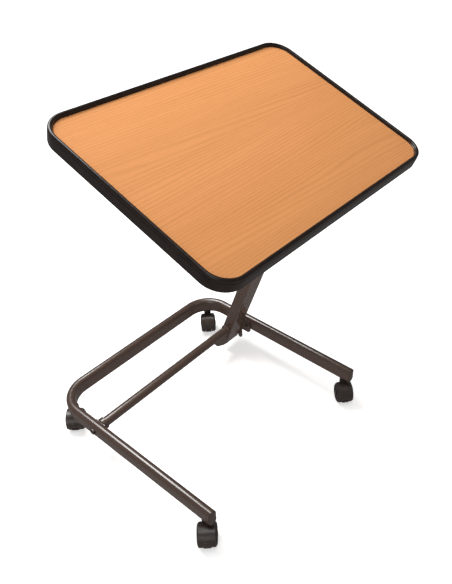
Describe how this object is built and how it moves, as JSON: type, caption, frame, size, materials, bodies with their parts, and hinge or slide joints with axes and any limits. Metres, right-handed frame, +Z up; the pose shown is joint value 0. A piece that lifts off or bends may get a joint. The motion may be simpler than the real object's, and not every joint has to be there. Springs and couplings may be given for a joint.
{
  "type": "overbed table",
  "caption": "Overbed table with a tilting rimmed wood-look tray top on a leaning telescopic post and a U-shaped tube base on hooded twin-wheel castors.",
  "frame": {"origin": "on the floor, under the middle of the whole table's bounding box at rest", "axes": "+Z up; +X out of the open end of the floor frame, which is down the slope of the top; +Y towards the side that carries the post"},
  "size_m": [0.5144, 0.6853, 0.7585],
  "materials": {
    "frame_paint": "glossy dark bronze hammered powder paint",
    "cap_plastic": "satin moulded black plastic",
    "zinc_steel": "zinc-plated steel",
    "knob_plastic": "fine-textured black plastic",
    "glide_plastic": "natural nylon",
    "board_core": "particle board",
    "wood_laminate": "satin beech laminate",
    "rim_plastic": "glossy near-black brown edging",
    "castor_plastic": "satin black nylon",
    "wheel_plastic": "satin black nylon tread"
  },
  "bodies": {
    "floor_frame": {"base_frame": "frame_paint", "leg_cap_left": "cap_plastic", "leg_cap_right": "cap_plastic", "cross_bar": "frame_paint", "cross_bar_saddle": "frame_paint", "cross_bar_plug": "zinc_steel", "cross_bar_bolt": "zinc_steel", "cross_bar_gusset": "frame_paint", "outer_post": "frame_paint", "post_foot_cap": "cap_plastic", "foot_bracket": "frame_paint", "foot_bolts": "zinc_steel", "foot_nuts": "zinc_steel", "post_guide_bush": "cap_plastic", "height_lock_boss": "frame_paint", "castor_front_left_socket": "zinc_steel", "castor_front_left_stem": "zinc_steel", "castor_front_right_socket": "zinc_steel", "castor_front_right_stem": "zinc_steel", "castor_rear_left_socket": "zinc_steel", "castor_rear_left_stem": "zinc_steel", "castor_rear_right_socket": "zinc_steel", "castor_rear_right_stem": "zinc_steel"},
    "height_lock": {"height_knob": "knob_plastic", "height_lock_screw": "zinc_steel"},
    "mast": {"inner_post": "frame_paint", "inner_post_glide": "glide_plastic", "tilt_yoke": "frame_paint", "tilt_washers": "zinc_steel"},
    "tray_top": {"table_saddle": "frame_paint", "tilt_bolt": "zinc_steel", "saddle_screws": "zinc_steel", "table_board": "board_core", "table_laminate": "wood_laminate", "edge_rim": "rim_plastic"},
    "tilt_clamp": {"tilt_knob": "knob_plastic"},
    "castor_front_left": {"castor_front_left_body": "castor_plastic", "castor_front_left_axle": "zinc_steel"},
    "castor_front_left_wheel_a": {"castor_front_left_wheel_a": "wheel_plastic"},
    "castor_front_left_wheel_b": {"castor_front_left_wheel_b": "wheel_plastic"},
    "castor_front_right": {"castor_front_right_body": "castor_plastic", "castor_front_right_axle": "zinc_steel"},
    "castor_front_right_wheel_a": {"castor_front_right_wheel_a": "wheel_plastic"},
    "castor_front_right_wheel_b": {"castor_front_right_wheel_b": "wheel_plastic"},
    "castor_rear_left": {"castor_rear_left_body": "castor_plastic", "castor_rear_left_axle": "zinc_steel"},
    "castor_rear_left_wheel_a": {"castor_rear_left_wheel_a": "wheel_plastic"},
    "castor_rear_left_wheel_b": {"castor_rear_left_wheel_b": "wheel_plastic"},
    "castor_rear_right": {"castor_rear_right_body": "castor_plastic", "castor_rear_right_axle": "zinc_steel"},
    "castor_rear_right_wheel_a": {"castor_rear_right_wheel_a": "wheel_plastic"},
    "castor_rear_right_wheel_b": {"castor_rear_right_wheel_b": "wheel_plastic"}
  },
  "joints": [
    {"name": "mast_slide", "type": "slide", "parent": "floor_frame", "child": "mast", "axis": [0.3486, 0, 0.9373], "range_m": [-0.1, 0.14]},
    {"name": "top_tilt", "type": "hinge", "parent": "mast", "child": "tray_top", "pos_m": [0.08768, 0.14995, 0.62281], "axis": [0, 1, 0], "range_deg": [-20.4, 25]},
    {"name": "height_lock_turn", "type": "hinge", "parent": "floor_frame", "child": "height_lock", "pos_m": [0.01726, 0.18995, 0.43348], "axis": [0, 1, 0], "range_deg": [0, 360]},
    {"name": "tilt_clamp_turn", "type": "hinge", "parent": "tray_top", "child": "tilt_clamp", "pos_m": [0.08768, 0.18495, 0.62281], "axis": [0, 1, 0], "range_deg": [0, 360]},
    {"name": "castor_front_left_swivel", "type": "hinge", "parent": "floor_frame", "child": "castor_front_left", "pos_m": [0.21655, -0.30205, 0.05], "axis": [0, 0, 1], "continuous": true},
    {"name": "castor_front_left_roll_a", "type": "hinge", "parent": "castor_front_left", "child": "castor_front_left_wheel_a", "pos_m": [0.22473, -0.31083, 0.025], "axis": [-0.7314, -0.682, 0], "continuous": true},
    {"name": "castor_front_left_roll_b", "type": "hinge", "parent": "castor_front_left", "child": "castor_front_left_wheel_b", "pos_m": [0.22473, -0.31083, 0.025], "axis": [-0.7314, -0.682, 0], "continuous": true},
    {"name": "castor_front_right_swivel", "type": "hinge", "parent": "floor_frame", "child": "castor_front_right", "pos_m": [0.21655, 0.18995, 0.05], "axis": [0, 0, 1], "continuous": true},
    {"name": "castor_front_right_roll_a", "type": "hinge", "parent": "castor_front_right", "child": "castor_front_right_wheel_a", "pos_m": [0.22533, 0.18177, 0.025], "axis": [-0.682, -0.7314, 0], "continuous": true},
    {"name": "castor_front_right_roll_b", "type": "hinge", "parent": "castor_front_right", "child": "castor_front_right_wheel_b", "pos_m": [0.22533, 0.18177, 0.025], "axis": [-0.682, -0.7314, 0], "continuous": true},
    {"name": "castor_rear_left_swivel", "type": "hinge", "parent": "floor_frame", "child": "castor_rear_left", "pos_m": [-0.22812, -0.28272, 0.05], "axis": [0, 0, 1], "continuous": true},
    {"name": "castor_rear_left_roll_a", "type": "hinge", "parent": "castor_rear_left", "child": "castor_rear_left_wheel_a", "pos_m": [-0.21978, -0.29135, 0.025], "axis": [-0.7193, -0.6947, 0], "continuous": true},
    {"name": "castor_rear_left_roll_b", "type": "hinge", "parent": "castor_rear_left", "child": "castor_rear_left_wheel_b", "pos_m": [-0.21978, -0.29135, 0.025], "axis": [-0.7193, -0.6947, 0], "continuous": true},
    {"name": "castor_rear_right_swivel", "type": "hinge", "parent": "floor_frame", "child": "castor_rear_right", "pos_m": [-0.22812, 0.17062, 0.05], "axis": [0, 0, 1], "continuous": true},
    {"name": "castor_rear_right_roll_a", "type": "hinge", "parent": "castor_rear_right", "child": "castor_rear_right_wheel_a", "pos_m": [-0.21949, 0.16228, 0.025], "axis": [-0.6947, -0.7193, 0], "continuous": true},
    {"name": "castor_rear_right_roll_b", "type": "hinge", "parent": "castor_rear_right", "child": "castor_rear_right_wheel_b", "pos_m": [-0.21949, 0.16228, 0.025], "axis": [-0.6947, -0.7193, 0], "continuous": true}
  ]
}
